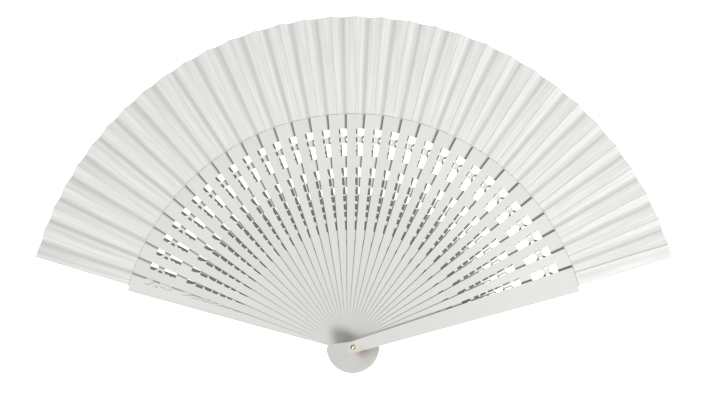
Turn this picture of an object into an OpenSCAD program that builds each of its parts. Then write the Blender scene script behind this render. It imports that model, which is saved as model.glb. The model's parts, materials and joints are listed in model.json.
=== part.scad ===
// Pleated folding fan: fretted wooden sticks and two plain guards turn on one rivet,
// and a pleated cloth leaf joins their ribs.
// The fan lies flat and open. The rivet's axis is +Z, the middle of the open fan is +Y,
// and the origin is the middle of the rivet's flat tail, in the plane that the fan lies on.

/* [Fan] */
// Radius of the leaf's outer edge, from the rivet
leaf_r = 213; // [185:1:245]
// Radius of the sticks' shoulders, where the leaf begins
shoulder_r = 150; // [143:1:170]
// Angle between the two guards when the fan is open
open_angle = 146.2; // [120:0.1:172]
// Number of fretted sticks between the guards
stick_count = 32; // [24:1:36]
// Angle that the first pleat stays open, between the back guard and the first stick
first_step = 0.6; // [0.4:0.1:3]
// How much wider the pitch grows towards the front guard
pitch_growth = 0.09; // [0:0.01:0.3]

/* [Sticks] */
// Thickness of a stick's blade
stick_t = 0.55; // [0.5:0.01:0.8]
// Air between one layer and the next
layer_gap = 0.1; // [0.06:0.01:0.3]
// Width of a stick or guard at the rivet
waist_w = 7.6; // [6:0.1:10]
// Width of a stick at its shoulder
stick_w = 18.9; // [14:0.1:20]
// Width of a guard at its shoulder
guard_w = 16.4; // [12:0.1:20]
// Angle by which a stick's blade is turned from its rib, towards the front guard
blade_turn = 0.48; // [0:0.01:0.8]
// Thickness of a guard
guard_t = 1.8; // [1.7:0.1:3]

/* [Heels] */
// How far a heel reaches behind the rivet
heel_reach = 17.1; // [13:0.1:24]
// Width of a heel
heel_w = 11.8; // [9:0.1:14]
// Rounding of a heel's corners
heel_corner_r = 3.4; // [2:0.1:4.4]

/* [Fretwork] */
// Radius of the fretwork's outer end
fret_outer_r = 140.6; // [130:0.1:141]
// Radius of the fretwork's inner end
fret_inner_r = 55.5; // [45:0.1:70]
// Half of the angle that the fretwork spans, seen from the rivet
fret_half_angle = 1.3; // [0.8:0.05:1.4]

/* [Ribs and leaf] */
// Half of the angle that a stick's rib spans, seen from the rivet
rib_half_angle = 0.82; // [0.5:0.01:0.9]
// Half of the angle that the cloth on a stick's rib spans, seen from the rivet
strip_half_angle = 1.02; // [0.95:0.01:1.1]
// Width of a guard's rib
guard_rib_w = 7.6; // [5:0.1:8]
// How far the cloth reaches past each side of a guard's rib
guard_hem = 0.7; // [0.5:0.1:1]
// Thickness of a stick's rib
rib_t = 0.35; // [0.25:0.01:0.36]
// Thickness of the back guard's rib
back_rib_t = 0.45; // [0.3:0.05:0.55]
// Thickness of the front guard's rib
front_rib_t = 1; // [0.4:0.05:1.4]
// Depth of a pleat at the leaf's outer edge
pleat_h = 2.8; // [1.5:0.1:2.8]
// Thickness of the cloth
cloth_t = 0.08; // [0.05:0.01:0.08]
// Distance by which a stick's rib stops short of the leaf's edge
rib_short = 2; // [0.5:0.1:5]

/* [Rivet] */
// Diameter of the rivet's pin
pin_d = 2; // [1.6:0.1:3]
// Radial clearance of the pin in the sticks' bores
pin_clearance = 0.05; // [0.02:0.01:0.1]
// Diameter of the rivet's head and of its tail
rivet_head_d = 3.4; // [3.2:0.1:5]
// Height of the rivet's domed head
rivet_head_h = 1; // [0.6:0.1:1.6]
// Thickness of the rivet's tail, which is sunk in the back guard
tail_t = 0.55; // [0.4:0.05:1]

/* [Hidden] */
// Segments of a true circle
round_fn = 48;
// How deep a rib is rooted in its blade
rib_root = 3;
// Gap between a rib's lower face and the lower face of its layer
rib_lift = 0.05;
// Gap between a rib and the cloth on it
cloth_lift = 0.04;
// Gap between the shoulders and the leaf
leaf_gap = 0.6;
// Steps along a rib and along the leaf
rib_steps = 8;
leaf_steps = 8;
// Rounding of a blade's corners at the shoulder
shoulder_corner_r = 0.9;
// Extra length that carries a cut clear of its faces
cut = 1;
// Gap under the rivet's head
head_gap = 0.05;

layer_pitch = stick_t + layer_gap;
bore_r = pin_d / 2 + pin_clearance;
back_angle = 90 + open_angle / 2;
front_guard_index = stick_count + 1;

function two_digits(k) = str(k < 10 ? "0" : "", k);
function stick_name(k) = str("stick_", two_digits(k));

// Angle that layer k has turned away from the back guard: layer 0 is the back guard,
// and the layer after the last stick is the front guard
function travel(k) =
    k == 0 ? 0 :
    let (s = (k - 1) / stick_count)
    first_step + (open_angle - first_step) * s * (1 - pitch_growth + pitch_growth * s);
function stick_angle(k) = back_angle - travel(k);

// Lower face of layer k
// The first stick lies on the back guard. It lies higher where the back guard's rib, tilted
// by the pleat, would reach below the guard's underside.
back_rib_drop = pleat_h / 2 * guard_rib_w / (guard_rib_w + 2 * guard_hem);
first_stick_z =
    max(guard_t + layer_gap, layer_pitch - rib_lift - rib_t + back_rib_t + back_rib_drop);
function layer_z(k) = k == 0 ? 0 : first_stick_z + (k - 1) * layer_pitch;
stack_top = layer_z(front_guard_index) + guard_t;

// Upper face of the rib of layer k, before it is tilted. The back guard's rib has the top
// that a stick's rib would have in the layer below the first stick.
function rib_thickness(k) =
    k == 0 ? back_rib_t : k == front_guard_index ? front_rib_t : rib_t;
function rib_top_z(k) =
    k == 0 ? layer_z(1) - layer_pitch + rib_lift + rib_t
           : layer_z(k) + rib_lift + rib_thickness(k);

// Half of the width of layer k at radius r: its blade, its rib and the cloth on the rib
function is_guard(k) = k == 0 || k == front_guard_index;
function shoulder_w(k) = is_guard(k) ? guard_w : stick_w;
function blade_half_w(k, r) = (waist_w + (shoulder_w(k) - waist_w) * r / shoulder_r) / 2;
function rib_half_w(k, r) = is_guard(k) ? guard_rib_w / 2 : r * tan(rib_half_angle);
function strip_half_w(k, r) =
    is_guard(k) ? guard_rib_w / 2 + guard_hem : r * tan(strip_half_angle);

// The leaf's pleats grow from nothing at the shoulders to pleat_h at the outer edge
function pleat_share(r) = max(0, (r - shoulder_r) / (leaf_r - shoulder_r));
// Height of a point at radius r that lies left of the middle of rib k by the given distance
function tilt_z(k, r, left) = pleat_h / 2 * pleat_share(r) * left / strip_half_w(k, r);

// ---- Flat outlines, with the rivet at the origin and the stick along +X ----

module heel_outline() {
    side = heel_w / 2 - heel_corner_r;
    ring = heel_reach - heel_corner_r;
    back = sqrt(ring * ring - side * side);
    polygon([
        [0, waist_w / 2], [-back, heel_w / 2],
        [-back, -heel_w / 2], [0, -waist_w / 2]
    ]);
    for (s = [-1, 1])
        translate([-back, s * side]) circle(r = heel_corner_r, $fn = round_fn);
    intersection() {
        circle(r = heel_reach, $fn = round_fn);
        polygon([[0, 0], [-2 * back, 2 * side], [-2 * back, -2 * side]]);
    }
}

module blade_outline(k) {
    r = shoulder_corner_r;
    half = blade_half_w(k, shoulder_r);
    polygon([
        [0, -waist_w / 2],
        [shoulder_r - r, -blade_half_w(k, shoulder_r - r)],
        [shoulder_r - r, -half + r], [shoulder_r, -half + r],
        [shoulder_r, half - r], [shoulder_r - r, half - r],
        [shoulder_r - r, blade_half_w(k, shoulder_r - r)],
        [0, waist_w / 2]
    ]);
    for (s = [-1, 1])
        translate([shoulder_r - r, s * (half - r)]) circle(r = r, $fn = round_fn);
}

// One hole of the fretwork. Its corners run down one side, and each is a share of the way
// from the fretwork's inner end to its outer end, and a share of the half width there.
function fret_r(along) = fret_inner_r + along * (fret_outer_r - fret_inner_r);
function fret_point(p, side) =
    let (r = fret_r(p[0])) [r, side * p[1] * r * tan(fret_half_angle)];
module middle_hole(corners) {
    last = len(corners) - 1;
    polygon(concat(
        [for (p = corners) fret_point(p, 1)],
        [for (i = [last:-1:0]) fret_point(corners[i], -1)]
    ));
}
module side_holes(corners) {
    for (side = [-1, 1]) polygon([for (p = corners) fret_point(p, side)]);
}
// A pair of holes with a thin spine between them
module hole_pair(inner, outer, spine) {
    side_holes([[outer, spine], [outer, 1], [inner, 1], [inner, spine]]);
}

module fretwork() {
    // the crossed window: head, two cheeks and a foot with a stepped side
    middle_hole([[1, 0.96], [0.966, 0.98], [0.945, 0.4]]);
    side_holes([[0.938, 1], [0.898, 1], [0.91, 0.5], [0.927, 0.5]]);
    middle_hole([[0.893, 0.36], [0.872, 0.9], [0.855, 0.68], [0.833, 0.98], [0.812, 0.74], [0.795, 0.96]]);
    // the funnel window
    middle_hole([[0.705, 1], [0.668, 0.9], [0.636, 0.42]]);
    hole_pair(0.574, 0.63, 0.34);
    middle_hole([[0.56, 0.72], [0.533, 0.95], [0.504, 0.95]]);
    // three short pairs
    hole_pair(0.451, 0.493, 0.24);
    hole_pair(0.387, 0.43, 0.24);
    hole_pair(0.334, 0.372, 0.24);
    // the plain windows
    middle_hole([[0.303, 1], [0.235, 1]]);
    middle_hole([[0.152, 0.95], [0.106, 0.95]]);
    middle_hole([[0.053, 0.95], [0, 0.95]]);
}

// ---- Solids, in the stick's own frame ----

// Rib of layer k: a thin strip that tilts more and more towards its tip, so that it lies
// along the pleat that it carries
module rib(k, tip_r) {
    root_r = shoulder_r - rib_root;
    bottom = rib_top_z(k) - rib_thickness(k);
    radii = [root_r, for (i = [0:rib_steps]) shoulder_r + (tip_r - shoulder_r) * i / rib_steps];
    last = len(radii) - 1;
    // four corners at each radius: lower right, lower left, upper left, upper right. The
    // triangles' diagonals keep the faceted strip just inside the true twisted one, and
    // those of the cloth keep it just above, so the two never cross.
    points = [
        for (r = radii)
            for (c = [[-1, 0], [1, 0], [1, 1], [-1, 1]])
                [r, c[0] * rib_half_w(k, r),
                 bottom + c[1] * rib_thickness(k) + tilt_z(k, r, c[0] * rib_half_w(k, r))]
    ];
    sides = [
        for (i = [0:last - 1])
            for (j = [0:3])
                let (a = 4 * i + j, b = 4 * i + (j + 1) % 4)
                    each [[a, b + 4, b], [a, a + 4, b + 4]]
    ];
    ends = [[0, 1, 2, 3], [for (j = [3:-1:0]) 4 * last + j]];
    polyhedron(points = points, faces = concat(sides, ends));
}

module bore(z, h) {
    translate([0, 0, z - cut]) cylinder(r = bore_r, h = h + 2 * cut, $fn = round_fn);
}

module blade(k, thickness) {
    difference() {
        translate([0, 0, layer_z(k)])
            linear_extrude(height = thickness)
                difference() {
                    union() {
                        heel_outline();
                        blade_outline(k);
                    }
                    if (!is_guard(k)) fretwork();
                }
        bore(layer_z(k), thickness);
    }
}

// ---- Nodes ----

module stick(k) {
    color("whitesmoke")
        rotate([0, 0, stick_angle(k)]) {
            rotate([0, 0, -blade_turn]) blade(k, stick_t);
            rib(k, leaf_r - rib_short);
        }
}

module back_guard() {
    color("gainsboro")
        rotate([0, 0, stick_angle(0)])
            difference() {
                union() {
                    blade(0, guard_t);
                    rib(0, leaf_r);
                }
                // seat of the rivet's tail
                translate([0, 0, -cut])
                    cylinder(r = rivet_head_d / 2 + pin_clearance, h = cut + tail_t + head_gap, $fn = round_fn);
            }
}

module front_guard() {
    color("whitesmoke")
        rotate([0, 0, stick_angle(front_guard_index)]) {
            blade(front_guard_index, guard_t);
            rib(front_guard_index, leaf_r);
        }
}

// Pin with a flat tail below and a low dome on top
module rivet() {
    head_r = rivet_head_d / 2;
    dome_r = (head_r * head_r + rivet_head_h * rivet_head_h) / (2 * rivet_head_h);
    head_z = stack_top + head_gap;
    color("goldenrod") {
        cylinder(r = head_r, h = tail_t, $fn = round_fn);
        cylinder(r = pin_d / 2, h = head_z + rivet_head_h / 2, $fn = round_fn);
        intersection() {
            translate([0, 0, head_z + rivet_head_h - dome_r]) sphere(r = dome_r, $fn = round_fn);
            translate([0, 0, head_z]) cylinder(r = head_r + cut, h = rivet_head_h + cut, $fn = round_fn);
        }
    }
}

// Corner of the cloth on layer k, at radius r and at the given side of its rib
function cloth_point(k, r, side) =
    let (left = side * strip_half_w(k, r), a = stick_angle(k) + atan(left / r))
    [r * cos(a), r * sin(a), rib_top_z(k) + cloth_lift + tilt_z(k, r, left)];

// A pleated sheet over the ribs of layers first to last
module pleats(first, last) {
    folds = [for (k = [first:last]) each [[k, 1], [k, -1]]];
    inner_r = shoulder_r + leaf_gap;
    columns = len(folds);
    rows = leaf_steps + 1;
    lower = [
        for (i = [0:leaf_steps])
            for (f = folds)
                cloth_point(f[0], inner_r + (leaf_r - inner_r) * i / leaf_steps, f[1])
    ];
    upper = [for (p = lower) p + [0, 0, cloth_t]];
    n = len(lower);
    function at(i, j) = i * columns + j;
    bottom = [
        for (i = [0:rows - 2]) for (j = [0:columns - 2])
            each [[at(i, j), at(i, j + 1), at(i + 1, j)], [at(i, j + 1), at(i + 1, j + 1), at(i + 1, j)]]
    ];
    top = [for (f = bottom) [f[2] + n, f[1] + n, f[0] + n]];
    // the rim's points in the order in which the lower faces run round it
    rim = concat(
        [for (j = [0:columns - 2]) at(0, j)],
        [for (i = [0:rows - 2]) at(i, columns - 1)],
        [for (j = [columns - 1:-1:1]) at(rows - 1, j)],
        [for (i = [rows - 1:-1:1]) at(i, 0)]
    );
    wall = [
        for (i = [0:len(rim) - 1])
            let (a = rim[i], b = rim[(i + 1) % len(rim)])
                each [[b, a, a + n], [b, a + n, b + n]]
    ];
    polyhedron(points = concat(lower, upper), faces = concat(bottom, top, wall));
}

module leaf() {
    color("white") {
        pleats(0, 0);
        pleats(1, front_guard_index);
    }
}

back_guard();
front_guard();
rivet();
leaf();
for (k = [1:stick_count])
    stick(k);
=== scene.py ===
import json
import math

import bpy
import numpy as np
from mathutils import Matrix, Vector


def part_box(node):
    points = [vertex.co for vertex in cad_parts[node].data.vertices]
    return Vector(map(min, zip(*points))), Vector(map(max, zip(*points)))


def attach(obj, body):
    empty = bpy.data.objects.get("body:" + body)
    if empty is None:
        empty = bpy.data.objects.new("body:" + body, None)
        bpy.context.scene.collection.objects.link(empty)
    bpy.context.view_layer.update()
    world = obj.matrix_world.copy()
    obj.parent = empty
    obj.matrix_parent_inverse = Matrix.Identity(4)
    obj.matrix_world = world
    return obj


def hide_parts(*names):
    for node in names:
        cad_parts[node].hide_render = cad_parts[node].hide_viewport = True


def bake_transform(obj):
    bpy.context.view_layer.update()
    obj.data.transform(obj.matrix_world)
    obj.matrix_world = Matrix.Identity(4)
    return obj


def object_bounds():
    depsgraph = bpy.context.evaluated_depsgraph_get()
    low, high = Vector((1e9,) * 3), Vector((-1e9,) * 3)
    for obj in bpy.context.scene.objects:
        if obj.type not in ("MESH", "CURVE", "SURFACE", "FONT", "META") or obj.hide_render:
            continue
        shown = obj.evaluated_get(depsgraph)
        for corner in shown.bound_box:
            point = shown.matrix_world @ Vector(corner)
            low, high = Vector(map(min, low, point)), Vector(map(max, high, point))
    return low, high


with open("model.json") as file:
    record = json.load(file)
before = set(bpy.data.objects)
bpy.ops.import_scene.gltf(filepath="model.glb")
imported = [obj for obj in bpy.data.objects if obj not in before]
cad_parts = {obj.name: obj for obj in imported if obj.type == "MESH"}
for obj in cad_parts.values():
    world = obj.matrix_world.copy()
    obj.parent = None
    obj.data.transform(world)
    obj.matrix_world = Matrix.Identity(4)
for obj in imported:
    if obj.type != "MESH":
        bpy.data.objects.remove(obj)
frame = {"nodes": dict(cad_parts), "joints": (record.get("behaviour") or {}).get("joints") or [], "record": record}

# %% [markdown]
# # A pleated folding fan
#
# The real fan is a stack of thin wooden sticks, pierced like lace, between two plain
# guards. One brass rivet holds them all, and a strip of pleated cloth is glued to the
# narrow rib at the end of each. The sticks, guards and rivet are exact solids that come
# with the frame, so this lesson adds what only a mesh and shaders can give: the cloth,
# the lacquer, the brass and the light.

cad_low, cad_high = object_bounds()

MM = 0.001
LEAF_R = 213 * MM
SHOULDER_R = 150 * MM
STICK_T = 0.55 * MM
LAYER_PITCH = 0.65 * MM
WAIST_W = 7.6 * MM
STICK_W = 18.9 * MM
GUARD_W = 16.4 * MM
BLADE_TURN = math.radians(0.48)
RIB_T = 0.35 * MM
FRONT_RIB_T = 1.0 * MM
BACK_RIB_T = 0.45 * MM
STRIP_HALF = math.radians(1.02)
GUARD_STRIP_W = 9.0 * MM
PLEAT_H = 2.8 * MM

joints = {j["name"]: j for j in frame["joints"]}
ratios = {c["joint"]: c["ratio"] for c in frame["record"]["behaviour"]["couplings"]}
OPENING = -joints["fan_fold"]["range_deg"][0]
BACK_ANGLE = 90 + OPENING / 2
stick_names = sorted(n for n in frame["nodes"] if n.startswith("stick_"))
layers = ["back_guard", *stick_names, "front_guard"]
LAST = len(layers) - 1
share_of_opening = [0.0] + [ratios[f"{n}_turn"] for n in stick_names] + [1.0]
layer_angle = np.radians([BACK_ANGLE - OPENING * s for s in share_of_opening])
print(len(layers), "layers, opening", round(OPENING, 1), "degrees")

# %% [markdown]
# ## Where each layer lies
#
# The fan is a spiral stair: every stick lies one layer higher than its left neighbour.
# The box of a stick is centred on the middle of its rib, because the rib tilts equally
# up and down, so the frame itself tells how high each layer is.

# %% Height of each rib's upper face
def rib_thickness(k):
    return BACK_RIB_T if k == 0 else FRONT_RIB_T if k == LAST else RIB_T


def rib_top(k):
    """A stick's rib is centred in its box. The guards' ribs follow from their neighbours' layers."""
    if k == 0:
        return rib_top(1) - LAYER_PITCH
    if k == LAST:
        return rib_top(k - 1) + LAYER_PITCH - RIB_T + FRONT_RIB_T
    low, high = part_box(layers[k])
    return (low[2] + high[2]) / 2 + RIB_T / 2


cloth_z = np.array([rib_top(k) for k in range(LAST + 1)]) + 0.09 * MM
print("cloth lies from", round(cloth_z[0] / MM, 2), "to", round(cloth_z[-1] / MM, 2), "mm up")

# %% [markdown]
# ## The cloth leaf
#
# The leaf is one strip of cloth with a ridge and a valley for each stick. A simulation
# could fold it, but every fold is known: the cloth is glued to each rib, and between two
# ribs it is pulled nearly straight. So each panel is a ruled surface, a row of straight
# threads from one line to another, which can be written down exactly.
#
# A strip lies on each rib and rides on its stick. A free panel spans from the right
# edge of one strip to the left edge of the next.

# %% Grids into meshes
CLOTH_T = 0.1 * MM
INNER_R = SHOULDER_R + 0.02 * MM
RADIAL_STEPS = 40


def grid_mesh(name, points, uv_size):
    """A mesh from a grid of points, rows along the first axis, with UV in metres of cloth."""
    rows, columns = points.shape[:2]
    index = np.arange(rows * columns).reshape(rows, columns)
    faces = np.stack(
        [index[:-1, :-1], index[1:, :-1], index[1:, 1:], index[:-1, 1:]], axis=-1
    ).reshape(-1, 4)
    mesh = bpy.data.meshes.new(name)
    mesh.from_pydata(points.reshape(-1, 3).tolist(), [], faces.tolist())
    corner = np.zeros(len(mesh.loops), np.int32)
    mesh.loops.foreach_get("vertex_index", corner)
    v, u = np.divmod(corner, columns)
    uv = np.stack([u / (columns - 1) * uv_size[0], v / (rows - 1) * uv_size[1]], axis=-1)
    layer = mesh.uv_layers.new(name="cloth")
    layer.data.foreach_set("uv", uv.astype(np.float32).ravel())
    mesh.polygons.foreach_set("use_smooth", np.ones(len(mesh.polygons), bool))
    mesh.update()
    piece = bpy.data.objects.new(name, mesh)
    bpy.context.scene.collection.objects.link(piece)
    return piece


def cloth_thickness(piece):
    """Gives the sheet its thickness, half to each side."""
    wall = piece.modifiers.new("thickness", "SOLIDIFY")
    wall.thickness = CLOTH_T
    wall.offset = 0
    even = piece.modifiers.new("even shading", "WEIGHTED_NORMAL")
    even.mode = "FACE_AREA"
    even.weight = 90


radii = np.linspace(INNER_R, LEAF_R, RADIAL_STEPS + 1)
print(RADIAL_STEPS, "steps from", round(INNER_R / MM, 2), "to", round(LEAF_R / MM, 2), "mm")

# %% [markdown]
# ## Fold lines
#
# A ridge or valley is a straight line in space. Seen along a stick, it runs out at a
# fixed angle from the rib's middle, and it rises or sinks in step with the radius, from
# nothing at the shoulders to half of the pleat's depth at the outer edge.

# %% Lines of the folds
EDGE_WAVE = 0.45 * MM


def along(k, r, left, up):
    """Point at distance r along stick k, moved sideways by left and to the height up."""
    a = layer_angle[k]
    r, left, up = np.broadcast_arrays(r, left, up)
    return np.stack(
        [r * np.cos(a) - left * np.sin(a), r * np.sin(a) + left * np.cos(a), up], axis=-1
    )


def strip_half(k, r):
    """A stick's strip widens like a sector, and a guard's strip keeps its width."""
    return r * 0 + GUARD_STRIP_W / 2 if k in (0, LAST) else r * math.tan(STRIP_HALF)


def tilt(r):
    """Height of a ridge over its rib's middle: half the pleat's depth, times how far out it is."""
    return PLEAT_H / 2 * (r - SHOULDER_R) / (LEAF_R - SHOULDER_R)


def nose_height(k):
    """The cloth turns round the rib's left edge, so its fold is as deep as the rib."""
    return rib_thickness(k) + 0.1 * MM


def lower_edge(k, r):
    """Line under the left edge of strip k, where the free panel joins it."""
    nose = nose_height(k) / 2
    return along(k, r, strip_half(k, r) - nose, cloth_z[k] + tilt(r) - 2 * nose)


def valley(k, r):
    """Line of the right edge of strip k."""
    return along(k, r, -strip_half(k, r), cloth_z[k] - tilt(r))


# %% [markdown]
# ## Strips on the ribs
#
# Across a strip the cloth comes from under the rib's left edge, goes round it in a half
# circle and runs down the tilted face to the valley. On the two guards it goes on round
# the outer edge and under the rib, where the real cloth is turned over and glued.

# %% Make the strips
NOSE_STEPS = 6
FACE_STEPS = 10


def half_turn(centre_left, centre_up, radius, start, stop):
    """An arc across the strip: centre plus radius times cosine and sine of the turn."""
    turn = np.radians(np.linspace(start, stop, NOSE_STEPS + 1))
    return centre_left[:, None] + radius * np.cos(turn), centre_up[:, None] + radius * np.sin(turn)


def strip_section(k, r):
    """Sideways places and heights across strip k, one row for each radius."""
    nose = nose_height(k) / 2
    half = strip_half(k, r)
    ridge_z = cloth_z[k] + tilt(r)
    valley_z = cloth_z[k] - tilt(r)
    left, up = half_turn(half - nose, ridge_z - nose, nose, -90, 90)
    s = np.linspace(0, 1, FACE_STEPS + 1)[1:]
    if k < LAST:
        left = np.hstack([left, (half - nose)[:, None] * (1 - s) - half[:, None] * s])
        up = np.hstack([up, ridge_z[:, None] * (1 - s) + valley_z[:, None] * s])
    else:
        # the right edge of the front guard's strip turns under
        left = np.hstack([left, (half - nose)[:, None] * (1 - s) - (half - nose)[:, None] * s])
        up = np.hstack([up, ridge_z[:, None] * (1 - s) + valley_z[:, None] * s])
        more_left, more_up = half_turn(nose - half, valley_z - nose, nose, 90, 270)
        left, up = np.hstack([left, more_left[:, 1:]]), np.hstack([up, more_up[:, 1:]])
    if k in (0, LAST):
        # the turned-over edge lies flat under the rib
        end = 0.35 * half
        under = np.linspace(0, 1, 5)
        if k == LAST:
            left = np.hstack([left, left[:, -1:] * (1 - under[1:]) - end[:, None] * under[1:]])
            tail = valley_z - 2 * nose + (ridge_z - valley_z) * 0.33
            up = np.hstack([up, up[:, -1:] * (1 - under[1:]) + tail[:, None] * under[1:]])
        else:
            left = np.hstack([-end[:, None] * (1 - under[:-1]) + left[:, :1] * under[:-1], left])
            tail = valley_z - 2 * nose + (ridge_z - valley_z) * 0.33
            up = np.hstack([tail[:, None] * (1 - under[:-1]) + up[:, :1] * under[:-1], up])
    return left, up


def outer_wave(k, left, r):
    """Ridges reach a hair further out than valleys, growing towards the outer edge."""
    reach = (r - INNER_R) / (LEAF_R - INNER_R)
    half = strip_half(k, r)
    return EDGE_WAVE * reach[:, None] ** 4 * np.clip(left / half[:, None], -1, 1)


strips = []
strip_points = []
for k, body in enumerate(layers):
    left, up = strip_section(k, radii)
    out = radii[:, None] + outer_wave(k, left, radii)
    points = along(k, out, left, up)
    width = 2 * LEAF_R * math.tan(STRIP_HALF)
    strip = grid_mesh(f"leaf_strip_{k:02d}", points, (width, LEAF_R - INNER_R))
    cloth_thickness(strip)
    strips.append(strip)
    strip_points.append(points)
print(len(strips), "strips on the ribs")

# %% [markdown]
# ## Free panels
#
# Each free panel is ruled between a valley and the next strip's lower edge. A few
# soft, long waves keep it from looking like card. They fade out at both folds, so that
# the panels stay joined to the strips.

# %% Make the free panels
PANEL_STEPS = 14
BOW = 0.04 * MM


def panel_points(k, r):
    """Points between two fold lines: a share u of the way across, plus a low bow and its ripple."""
    u = np.linspace(0, 1, PANEL_STEPS + 1)
    out = r[:, None] + EDGE_WAVE * ((r - INNER_R) / (LEAF_R - INNER_R))[:, None] ** 4 * (2 * u - 1)
    left_line = valley(k, out)
    right_line = lower_edge(k + 1, out)
    points = left_line * (1 - u)[None, :, None] + right_line * u[None, :, None]
    reach = (r - INNER_R) / (LEAF_R - INNER_R)
    ripple = np.sin(2.1 * k + 5.3 * reach) + 0.6 * np.sin(4.7 * k - 9.1 * reach)
    points[..., 2] += BOW * reach[:, None] * np.sin(math.pi * u) ** 2 * (1 + 0.5 * ripple[:, None])
    return points


panels = []
panel_grids = {}
for k in range(LAST):
    points = panel_points(k, radii)
    panel_grids[k] = points
    width = float(np.linalg.norm(points[-1, -1] - points[-1, 0]))
    panel = grid_mesh(f"leaf_panel_{k:02d}", points, (width, LEAF_R - INNER_R))
    cloth_thickness(panel)
    panels.append(panel)
print(len(panels), "free panels, each about", round(width / MM, 1), "mm wide at the outer edge")

# %% [markdown]
# ## Where a panel lies
#
# A panel's two edges belong to two sticks, and both sticks turn on the rivet by a share
# of the front guard's turn. The direction square to both edges is the only one in which
# each edge, all along its length, lies equally far. That direction and the gap along it
# are found for each panel, and the panel's place is baked into its mesh. The strips are
# attached to their sticks.


def seam_direction(k):
    """The unit vector square to both edges of panel k, from its left edge to its right one."""
    ends = radii[[0, -1]]
    left_line, right_line = valley(k, ends), lower_edge(k + 1, ends)
    square = np.cross(left_line[1] - left_line[0], right_line[1] - right_line[0])
    square /= np.linalg.norm(square)
    gap = float((right_line[0] - left_line[0]) @ square)
    return left_line[0], square * math.copysign(1, gap), abs(gap)


for k, panel in enumerate(panels):
    start_point, direction, gap = seam_direction(k)
    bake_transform(panel)
    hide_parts("leaf")
for strip, body in zip(strips, layers):
    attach(strip, body)
    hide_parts("leaf")

# %% [markdown]
# ## The cut of the cloth
#
# Each face of the leaf is a slim piece of cloth between two folds, as long as the leaf is
# deep. A face is made without stretching, so its flat size is measured along the cloth:
# across the outer end, and along the length. A declared side may not be under 10 mm, so
# the faces on the sticks, which are a little narrower, are declared 10 mm wide with
# their own true area.


def flat_size(points):
    """Width along the outer end, length between the ends, and area, all along the cloth."""
    across = np.linalg.norm(np.diff(points, axis=1), axis=2).sum(axis=1)
    length = LEAF_R - INNER_R
    return max(across), length, float((across[:-1] + across[1:]).mean() / 2 * length)


for kind, grids in (("strips", strip_points), ("panels", list(panel_grids.values()))):
    widths = [round(flat_size(points)[0] / MM, 1) for points in grids]
    print("outer widths of", kind, "in mm:", min(widths), "to", max(widths), widths[:2], widths[-1])
print("declared", len(strips) + len(panels), "faces of cloth")

# %% [markdown]
# ## Shared effects
#
# Wood and cloth share a few effects, such as soft mottling and fine streaks. Each is a
# shader node group that is built once and placed in each material with its own values.

# %% Group helpers
def new_group(name, inputs, outputs):
    group = bpy.data.node_groups.new(name, "ShaderNodeTree")
    for socket, kind, value in inputs:
        made = group.interface.new_socket(socket, in_out="INPUT", socket_type=kind)
        if value is not None:
            made.default_value = value
    for socket, kind in outputs:
        group.interface.new_socket(socket, in_out="OUTPUT", socket_type=kind)
    return group, group.nodes.new("NodeGroupInput"), group.nodes.new("NodeGroupOutput")


def add(tree, kind, links=(), **settings):
    """A node with its settings, and its inputs linked or set by (input, source or value)."""
    node = tree.nodes.new(kind)
    for key, value in settings.items():
        setattr(node, key, value)
    for socket, source in links:
        if isinstance(source, bpy.types.NodeSocket):
            tree.links.new(source, node.inputs[socket])
        else:
            node.inputs[socket].default_value = source
    return node


def maths(tree, operation, a, b=0.0):
    return add(tree, "ShaderNodeMath", [(0, a), (1, b)], operation=operation).outputs[0]


def noise(tree, place, scale, detail, roughness=0.5):
    links = [("Vector", place), ("Scale", scale), ("Detail", detail), ("Roughness", roughness)]
    return add(tree, "ShaderNodeTexNoise", links).outputs[0]


def mapped(tree, value, start, stop, low=0.0, high=1.0, **settings):
    """The value's way from start to stop, as a number from low to high, and never beyond."""
    links = [(0, value), (1, start), (2, stop), (3, low), (4, high)]
    return add(tree, "ShaderNodeMapRange", links, **settings).outputs[0]


def bumped(tree, height, strength, distance):
    links = [("Strength", strength), ("Distance", distance), ("Height", height)]
    return add(tree, "ShaderNodeBump", links).outputs[0]


def mixed(tree, share, a, b):
    node = add(tree, "ShaderNodeMix", data_type="RGBA")
    for socket, source in ((0, share), (6, a), (7, b)):
        if isinstance(source, bpy.types.NodeSocket):
            tree.links.new(source, node.inputs[socket])
        else:
            node.inputs[socket].default_value = source
    return node.outputs[2]


# %% [markdown]
# ### Grain under lacquer
#
# White lacquer hides the wood's colour but not its grain: fine pores run along the
# stick as faint streaks, and the lacquer sinks into them. Stretched noise along the
# stick gives both the streaks and the height for the bump.

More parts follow.
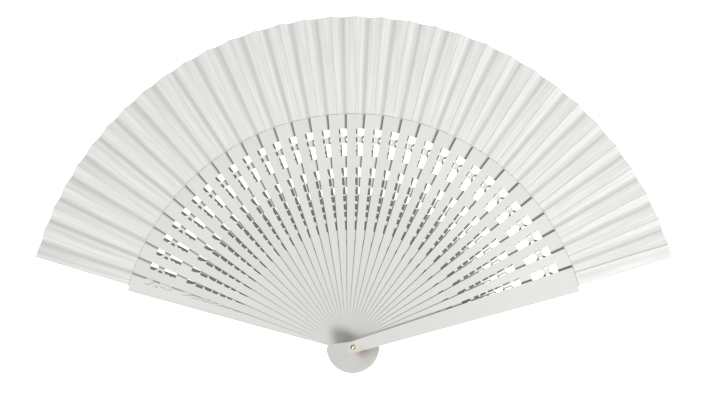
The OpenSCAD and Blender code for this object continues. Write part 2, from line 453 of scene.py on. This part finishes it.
# %% Grain group
def build_grain():
    group, given, out = new_group(
        "lacquered grain",
        [
            ("Vector", "NodeSocketVector", None),
            ("Across", "NodeSocketFloat", 2400.0),
            ("Seed", "NodeSocketFloat", 0.0),
        ],
        [("Streak", "NodeSocketFloat"), ("Mottle", "NodeSocketFloat"), ("Height", "NodeSocketFloat")],
    )
    place = add(group, "ShaderNodeSeparateXYZ", [(0, given.outputs["Vector"])])
    squeezed = add(
        group,
        "ShaderNodeCombineXYZ",
        [
            (0, maths(group, "MULTIPLY", place.outputs[0], 70.0)),
            (1, maths(group, "MULTIPLY", place.outputs[1], given.outputs["Across"])),
            (2, given.outputs["Seed"]),
        ],
    )
    fine = noise(group, squeezed.outputs[0], 1.0, 3.0, 0.6)
    wide = add(
        group,
        "ShaderNodeCombineXYZ",
        [
            (0, maths(group, "MULTIPLY", place.outputs[0], 45.0)),
            (1, maths(group, "MULTIPLY", place.outputs[1], 260.0)),
            (2, maths(group, "ADD", given.outputs["Seed"], 7.0)),
        ],
    )
    group.links.new(mapped(group, fine, 0.35, 0.72), out.inputs["Streak"])
    group.links.new(noise(group, wide.outputs[0], 1.0, 2.0), out.inputs["Mottle"])
    group.links.new(fine, out.inputs["Height"])
    return group


grain_group = build_grain()
print("grain group has", len(grain_group.nodes), "nodes")

# %% [markdown]
# ### Worn edges
#
# Hands rub the lacquer thin along a stick's long edges. The blade's outline is known,
# so the distance to its edge is too: half of the width at that radius, less how far
# the point lies from the middle line. A little noise breaks up the worn line.

# %% Edge group
def beyond_edge(tree, place, side, widening):
    """How far a point lies beyond a blade's edge: its distance from the middle, less half the width."""
    half = maths(tree, "MULTIPLY_ADD", place.outputs[0], widening)
    half.node.inputs[2].default_value = WAIST_W / 2
    return maths(tree, "SUBTRACT", side, half)


def build_edge():
    group, given, out = new_group(
        "worn edges",
        [
            ("Vector", "NodeSocketVector", None),
            ("Widening", "NodeSocketFloat", 0.0377),
            ("Depth", "NodeSocketFloat", 0.0006),
        ],
        [("Wear", "NodeSocketFloat")],
    )
    place = add(group, "ShaderNodeSeparateXYZ", [(0, given.outputs["Vector"])])
    side = maths(group, "ABSOLUTE", place.outputs[1])
    from_edge = beyond_edge(group, place, side, given.outputs["Widening"])
    uneven = maths(group, "MULTIPLY", noise(group, given.outputs["Vector"], 420.0, 3.0), 2.0)
    depth = maths(group, "MULTIPLY", given.outputs["Depth"], uneven)
    near = mapped(group, maths(group, "ABSOLUTE", from_edge), 0.0, depth, 1.0, 0.0)
    group.links.new(near, out.inputs["Wear"])
    return group


edge_group = build_edge()
print("edge group has", len(edge_group.nodes), "nodes")

# %% [markdown]
# ### Painted shade where a neighbour covers
#
# A stick is painted dark past its neighbour's edge: painted shade for the narrow gap
# beside each neighbour and for the parts it covers, which show through the fretwork. The
# shade fades out over a short band past the edge, wider towards the outer end. The group
# takes the point in the neighbour's own direction, where that edge is a straight line.

# %% Cover group
def build_painted_cover_shade():
    group, given, out = new_group(
        "painted shade beside a neighbour",
        [
            ("Vector", "NodeSocketVector", None),
            ("Side", "NodeSocketFloat", 1.0),
            ("Widening", "NodeSocketFloat", 0.0377),
            ("Facing", "NodeSocketFloat", 1.0),
            ("Spread", "NodeSocketFloat", 0.095),
            ("Firmness", "NodeSocketFloat", 0.4),
            ("Normal", "NodeSocketVector", None),
        ],
        [("Painted shade", "NodeSocketFloat")],
    )
    place = add(group, "ShaderNodeSeparateXYZ", [(0, given.outputs["Vector"])])
    side = maths(group, "MULTIPLY", place.outputs[1], given.outputs["Side"])
    beyond = beyond_edge(group, place, side, given.outputs["Widening"])
    square = maths(group, "MULTIPLY", place.outputs[0], place.outputs[0])
    fade = maths(group, "MULTIPLY_ADD", square, given.outputs["Spread"])
    fade.node.inputs[2].default_value = 0.2 * MM
    firm = maths(group, "MULTIPLY", fade, given.outputs["Firmness"])
    near = mapped(group, beyond, firm, fade, 1.0, 0.0, interpolation_type="SMOOTHSTEP")
    past_rivet = mapped(group, place.outputs[0], 10 * MM, 30 * MM)
    normal = add(group, "ShaderNodeSeparateXYZ", [(0, given.outputs["Normal"])])
    facing = maths(group, "MULTIPLY", normal.outputs[2], given.outputs["Facing"])
    towards = maths(group, "GREATER_THAN", facing, 0.5)
    # The share of painted shade: past the edge, away from the rivet, on faces that look the given way.
    covered = maths(group, "MULTIPLY", maths(group, "MULTIPLY", near, past_rivet), towards)
    group.links.new(covered, out.inputs["Painted shade"])
    return group


painted_cover_shade_group = build_painted_cover_shade()
print("cover group has", len(painted_cover_shade_group.nodes), "nodes")

# %% [markdown]
# ## Lacquered wood
#
# Each stick has its own direction, so each has its own material: a Mapping node turns
# the grain along the stick. The lacquer is a satin white, drawn a little greyer towards the
# rivet and greyer still on the heels. Each stick's white differs by a hair.

# %% Wood materials
LACQUER = (0.695, 0.70, 0.675, 1)
LACQUER_SHADE = (0.60, 0.60, 0.575, 1)
RIVET_END_GREY = (0.60, 0.602, 0.582, 1)
BARE_WOOD = (0.47, 0.40, 0.31, 1)
# Painted shade: the near-black for the gap beside a neighbour and the parts it covers.
PAINTED_COVER_SHADE = (0.10, 0.10, 0.094, 1)
HEEL = (0.51, 0.51, 0.49, 1)
STAIN = (0.50, 0.42, 0.37, 1)
STAIN_PLACE = (7.0 * MM, -4.3 * MM)


def principled(name):
    material = bpy.data.materials.new(name)
    material.use_nodes = True
    shader = material.node_tree.nodes["Principled BSDF"]
    return material, material.node_tree, shader


def blade_frame(k):
    """The direction of blade k, and how fast its half width grows with the distance."""
    if k in (0, LAST):
        return layer_angle[k], (GUARD_W - WAIST_W) / 2 / SHOULDER_R
    return layer_angle[k] - BLADE_TURN, (STICK_W - WAIST_W) / 2 / SHOULDER_R


def turned_to(tree, coordinates, k):
    """Object coordinates turned so that blade k lies along +X."""
    return add(
        tree,
        "ShaderNodeMapping",
        [("Vector", coordinates.outputs["Object"]), ("Rotation", (0.0, 0.0, -blade_frame(k)[0]))],
        vector_type="POINT",
    )


# The share of painted shade that a neighbour's edge casts on this stick.
def cover_shade_mask(tree, coordinates, neighbour, side, facing):
    node = add(tree, "ShaderNodeGroup", node_tree=painted_cover_shade_group)
    tree.links.new(turned_to(tree, coordinates, neighbour).outputs[0], node.inputs["Vector"])
    tree.links.new(coordinates.outputs["Normal"], node.inputs["Normal"])
    node.inputs["Side"].default_value = side
    node.inputs["Facing"].default_value = facing
    node.inputs["Widening"].default_value = blade_frame(neighbour)[1]
    node.inputs["Firmness"].default_value = 0.55 * neighbour / LAST - 0.1
    return node.outputs["Painted shade"]


def stain_share(tree, coordinates):
    """One where the stain is, with a ragged rim: the distance from its middle, plus noise."""
    place = add(tree, "ShaderNodeSeparateXYZ", [(0, coordinates.outputs["Object"])])
    away_x = maths(tree, "SUBTRACT", place.outputs[0], STAIN_PLACE[0])
    away_y = maths(tree, "SUBTRACT", place.outputs[1], STAIN_PLACE[1])
    squares = [maths(tree, "MULTIPLY", away, away) for away in (away_x, away_y)]
    away = maths(tree, "SQRT", maths(tree, "ADD", *squares))
    blotch = maths(tree, "SUBTRACT", noise(tree, coordinates.outputs["Object"], 300.0, 3.0), 0.5)
    ragged = maths(tree, "ADD", away, maths(tree, "MULTIPLY", blotch, 7 * MM))
    return mapped(tree, ragged, 5.4 * MM, 1.2 * MM, 0.0, 0.6)


def lacquered_wood(name, k):
    material, tree, shader = principled(name)
    coordinates = add(tree, "ShaderNodeTexCoord")
    turned = turned_to(tree, coordinates, k)
    grain = add(tree, "ShaderNodeGroup", node_tree=grain_group)
    tree.links.new(turned.outputs[0], grain.inputs["Vector"])
    grain.inputs["Seed"].default_value = 3.7 * k
    edge = add(tree, "ShaderNodeGroup", node_tree=edge_group)
    tree.links.new(turned.outputs[0], edge.inputs["Vector"])
    edge.inputs["Widening"].default_value = blade_frame(k)[1]
    place = add(tree, "ShaderNodeSeparateXYZ", [(0, turned.outputs[0])])

    tone = 1 + 0.03 * math.sin(2.4 * k)
    pale = tuple(min(1.0, c * tone) for c in LACQUER[:3]) + (1,)
    colour = mixed(tree, maths(tree, "MULTIPLY", grain.outputs["Streak"], 0.33), pale, LACQUER_SHADE)
    colour = mixed(tree, maths(tree, "MULTIPLY", grain.outputs["Mottle"], 0.22), colour, LACQUER_SHADE)
    # Drawn greyer towards the rivet and on the heels.
    near_rivet = mapped(tree, place.outputs[0], 120 * MM, 15 * MM, 0.0, 0.9)
    colour = mixed(tree, near_rivet, colour, RIVET_END_GREY)
    heel = mapped(tree, place.outputs[0], 3 * MM, -5 * MM, 0.0, 0.9)
    colour = mixed(tree, heel, colour, HEEL)
    colour = mixed(tree, maths(tree, "MULTIPLY", edge.outputs["Wear"], 0.16), colour, BARE_WOOD)

    colour = mixed(tree, stain_share(tree, coordinates), colour, STAIN)
    # Painted shade past the edges of the neighbours above and below.
    if 0 < k < LAST:
        above = cover_shade_mask(tree, coordinates, k + 1, 1.0, 1.0)
        colour = mixed(tree, maths(tree, "MULTIPLY", above, 0.93), colour, PAINTED_COVER_SHADE)
    if k > 0:
        below = cover_shade_mask(tree, coordinates, k - 1, -1.0, -1.0)
        colour = mixed(tree, maths(tree, "MULTIPLY", below, 0.93), colour, PAINTED_COVER_SHADE)
    tree.links.new(colour, shader.inputs["Base Color"])

    rough = mapped(tree, grain.outputs["Streak"], 0.0, 1.0, 0.42, 0.58)
    tree.links.new(rough, shader.inputs["Roughness"])
    tree.links.new(bumped(tree, grain.outputs["Height"], 0.22, 0.06 * MM), shader.inputs["Normal"])
    return material


for k, node in enumerate(layers):
    wood = lacquered_wood(f"lacquered_{node}", k)
    materials = frame["nodes"][node].data.materials
    for i in range(len(materials)):
        materials[i] = wood
print("lacquered", len(layers), "sticks and guards")

# %% [markdown]
# ## Cloth
#
# The leaf is a fine plain weave. Threads cross at a fixed spacing in the cloth's own
# plane, so the weave reads the UV map, which is in metres of cloth. The cloth is thin,
# so some light comes through it, and faint long creases run from the pleating: they
# bump the surface and are painted darker as painted shade.

# %% Weave group
def build_weave():
    group, given, out = new_group(
        "plain weave",
        [("Vector", "NodeSocketVector", None), ("Threads", "NodeSocketFloat", 9000.0)],
        [("Height", "NodeSocketFloat"), ("Crease", "NodeSocketFloat")],
    )
    place = add(group, "ShaderNodeSeparateXYZ", [(0, given.outputs["Vector"])])
    across = maths(group, "SINE", maths(group, "MULTIPLY", place.outputs[0], given.outputs["Threads"]))
    along_it = maths(group, "SINE", maths(group, "MULTIPLY", place.outputs[1], given.outputs["Threads"]))
    height = maths(group, "MULTIPLY", across, along_it)
    group.links.new(height, out.inputs["Height"])
    long = add(
        group,
        "ShaderNodeCombineXYZ",
        [
            (0, maths(group, "MULTIPLY", place.outputs[0], 700.0)),
            (1, maths(group, "MULTIPLY", place.outputs[1], 22.0)),
        ],
    )
    crease = mapped(group, noise(group, long.outputs[0], 1.0, 3.0), 0.36, 0.66)
    group.links.new(crease, out.inputs["Crease"])
    return group


weave_group = build_weave()
print("weave group has", len(weave_group.nodes), "nodes")

# %% Cloth materials
CLOTH = (0.78, 0.79, 0.765, 1)
CLOTH_SHADE = (0.59, 0.60, 0.575, 1)
# Painted shade for the valleys and for the line at the shoulders.
CLOTH_PAINTED_SHADE = (0.42, 0.43, 0.41, 1)
STRIP_WIDTH = 2 * LEAF_R * math.tan(STRIP_HALF)


def cloth_material(name, seed, fold_at, fold_towards):
    """Across the cloth the colour darkens from fold_towards to fold_at: painted shade in the valley."""
    material, tree, shader = principled(name)
    uv = add(tree, "ShaderNodeUVMap", uv_map="cloth")
    shift = (0.013 * seed, 0.0, 0.0)
    moved = add(tree, "ShaderNodeMapping", [("Vector", uv.outputs[0]), ("Location", shift)])
    weave = add(tree, "ShaderNodeGroup", node_tree=weave_group)
    tree.links.new(moved.outputs[0], weave.inputs["Vector"])
    # Painted shade along the faint creases.
    colour = mixed(tree, maths(tree, "MULTIPLY", weave.outputs["Crease"], 0.6), CLOTH, CLOTH_SHADE)
    across = add(tree, "ShaderNodeSeparateXYZ", [(0, uv.outputs[0])])
    # Painted shade darkening into the valley.
    valley_shade = mapped(
        tree, across.outputs[0], fold_towards, fold_at, 0.0, 0.55, interpolation_type="SMOOTHSTEP"
    )
    colour = mixed(tree, valley_shade, colour, CLOTH_PAINTED_SHADE)
    # Painted shadow along the inner edge, where the leaf meets the shoulders.
    shoulder_shadow = mapped(tree, across.outputs[1], 0.9 * MM, 0.2 * MM, 0.0, 0.6)
    colour = mixed(tree, shoulder_shadow, colour, CLOTH_PAINTED_SHADE)
    tree.links.new(colour, shader.inputs["Base Color"])
    shader.inputs["Roughness"].default_value = 0.85
    threads = maths(tree, "MULTIPLY", weave.outputs["Height"], 0.3)
    height = maths(tree, "ADD", threads, maths(tree, "MULTIPLY", weave.outputs["Crease"], 1.6))
    tree.links.new(bumped(tree, height, 0.35, 0.08 * MM), shader.inputs["Normal"])
    return material


for i in range(4):
    panel_cloth = cloth_material(f"panel_cloth_{i}", i, 0.0, 3.4 * MM)
    for piece in panels[i::4]:
        piece.data.materials.append(panel_cloth)
    strip_cloth = cloth_material(f"strip_cloth_{i}", i + 4, STRIP_WIDTH, STRIP_WIDTH - 2.4 * MM)
    for piece in strips[i::4]:
        piece.data.materials.append(strip_cloth)
print("cloth on", len(panels) + len(strips), "pieces")

# %% [markdown]
# ## Brass rivet
#
# The rivet's head is drawn brass, polished by handling and dulled in fine scratches.

# %% Brass
def brass_material():
    material, tree, shader = principled("rivet_brass")
    coordinates = add(tree, "ShaderNodeTexCoord")
    scratches = noise(tree, coordinates.outputs["Object"], 1800.0, 4.0)
    colour = mixed(tree, scratches, (0.66, 0.53, 0.24, 1), (0.80, 0.72, 0.45, 1))
    tree.links.new(colour, shader.inputs["Base Color"])
    shader.inputs["Metallic"].default_value = 1.0
    tree.links.new(mapped(tree, scratches, 0.3, 0.7, 0.16, 0.34), shader.inputs["Roughness"])
    tree.links.new(bumped(tree, scratches, 0.15, 0.03 * MM), shader.inputs["Normal"])
    return material


brass = brass_material()
rivet_materials = frame["nodes"]["rivet"].data.materials
for i in range(len(rivet_materials)):
    rivet_materials[i] = brass
print("brass on the rivet")

# %% [markdown]
# ## Floor, light and camera
#
# The fan lies on a pale table. The broad key light comes from the handle's side, so the
# pleats take light and shade in turn. A smaller light near the right end brightens that
# side, and a third reaches the steep steps beside the rivet. A white surround fills in.

# %% Floor
FLOOR_SIZE = 6.0


def floor_material():
    material, tree, shader = principled("pale_floor")
    coordinates = add(tree, "ShaderNodeTexCoord")
    cloudy = noise(tree, coordinates.outputs["Object"], 3.0, 2.0)
    colour = mixed(tree, cloudy, (0.86, 0.86, 0.86, 1), (0.88, 0.88, 0.88, 1))
    tree.links.new(colour, shader.inputs["Base Color"])
    shader.inputs["Roughness"].default_value = 0.9
    shader.inputs["Emission Color"].default_value = (1, 1, 1, 1)
    shader.inputs["Emission Strength"].default_value = 0.9
    return material


half = FLOOR_SIZE / 2
floor_mesh = bpy.data.meshes.new("floor")
floor_z = min(cad_low.z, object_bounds()[0].z) - 0.1 * MM
floor_mesh.from_pydata(
    [(-half, -half, floor_z), (half, -half, floor_z), (half, half, floor_z), (-half, half, floor_z)],
    [],
    [(0, 1, 2, 3)],
)
floor = bpy.data.objects.new("floor", floor_mesh)
floor_mesh.materials.append(floor_material())
bpy.context.scene.collection.objects.link(floor)
print("floor at", round(floor_z / MM, 2), "mm")

# %% Light
def area_light(name, place, target, size, power):
    data = bpy.data.lights.new(name, "AREA")
    data.size = size
    data.energy = power
    light = bpy.data.objects.new(name, data)
    light.location = place
    aim = np.array(target) - np.array(place)
    light.rotation_mode = "QUATERNION"
    light.rotation_quaternion = Vector(aim).to_track_quat("-Z", "Y")
    bpy.context.scene.collection.objects.link(light)
    return light


MIDDLE = (0.0, 0.09, 0.012)
area_light("key", (-0.3, -1.15, 1.65), MIDDLE, 0.8, 25.5)
area_light("top", (-0.45, 0.4, 1.8), MIDDLE, 0.7, 5.0)
area_light("side", (0.55, 0.2, 0.75), MIDDLE, 0.5, 3.4)
world = bpy.data.worlds.new("surround")
world.use_nodes = True
world.node_tree.nodes["Background"].inputs[0].default_value = (1, 1, 1, 1)
world.node_tree.nodes["Background"].inputs[1].default_value = 0.25
bpy.context.scene.world = world
bpy.context.scene.view_settings.view_transform = "Standard"
print("lights set")

# %% Camera
VIEW_WIDTH = 453.4 * MM
CAMERA_DISTANCE = 3.5
MIDDLE_HEIGHT = 12 * MM
camera_data = bpy.data.cameras.new("camera")
camera_data.sensor_width = 36.0
camera_data.lens = 36.0 * CAMERA_DISTANCE / VIEW_WIDTH
camera = bpy.data.objects.new("camera", camera_data)
camera.location = (-1.0 * MM, 94.6 * MM, CAMERA_DISTANCE + MIDDLE_HEIGHT)
bpy.context.scene.collection.objects.link(camera)
bpy.context.scene.camera = camera
print("camera looks straight down from", CAMERA_DISTANCE, "m")
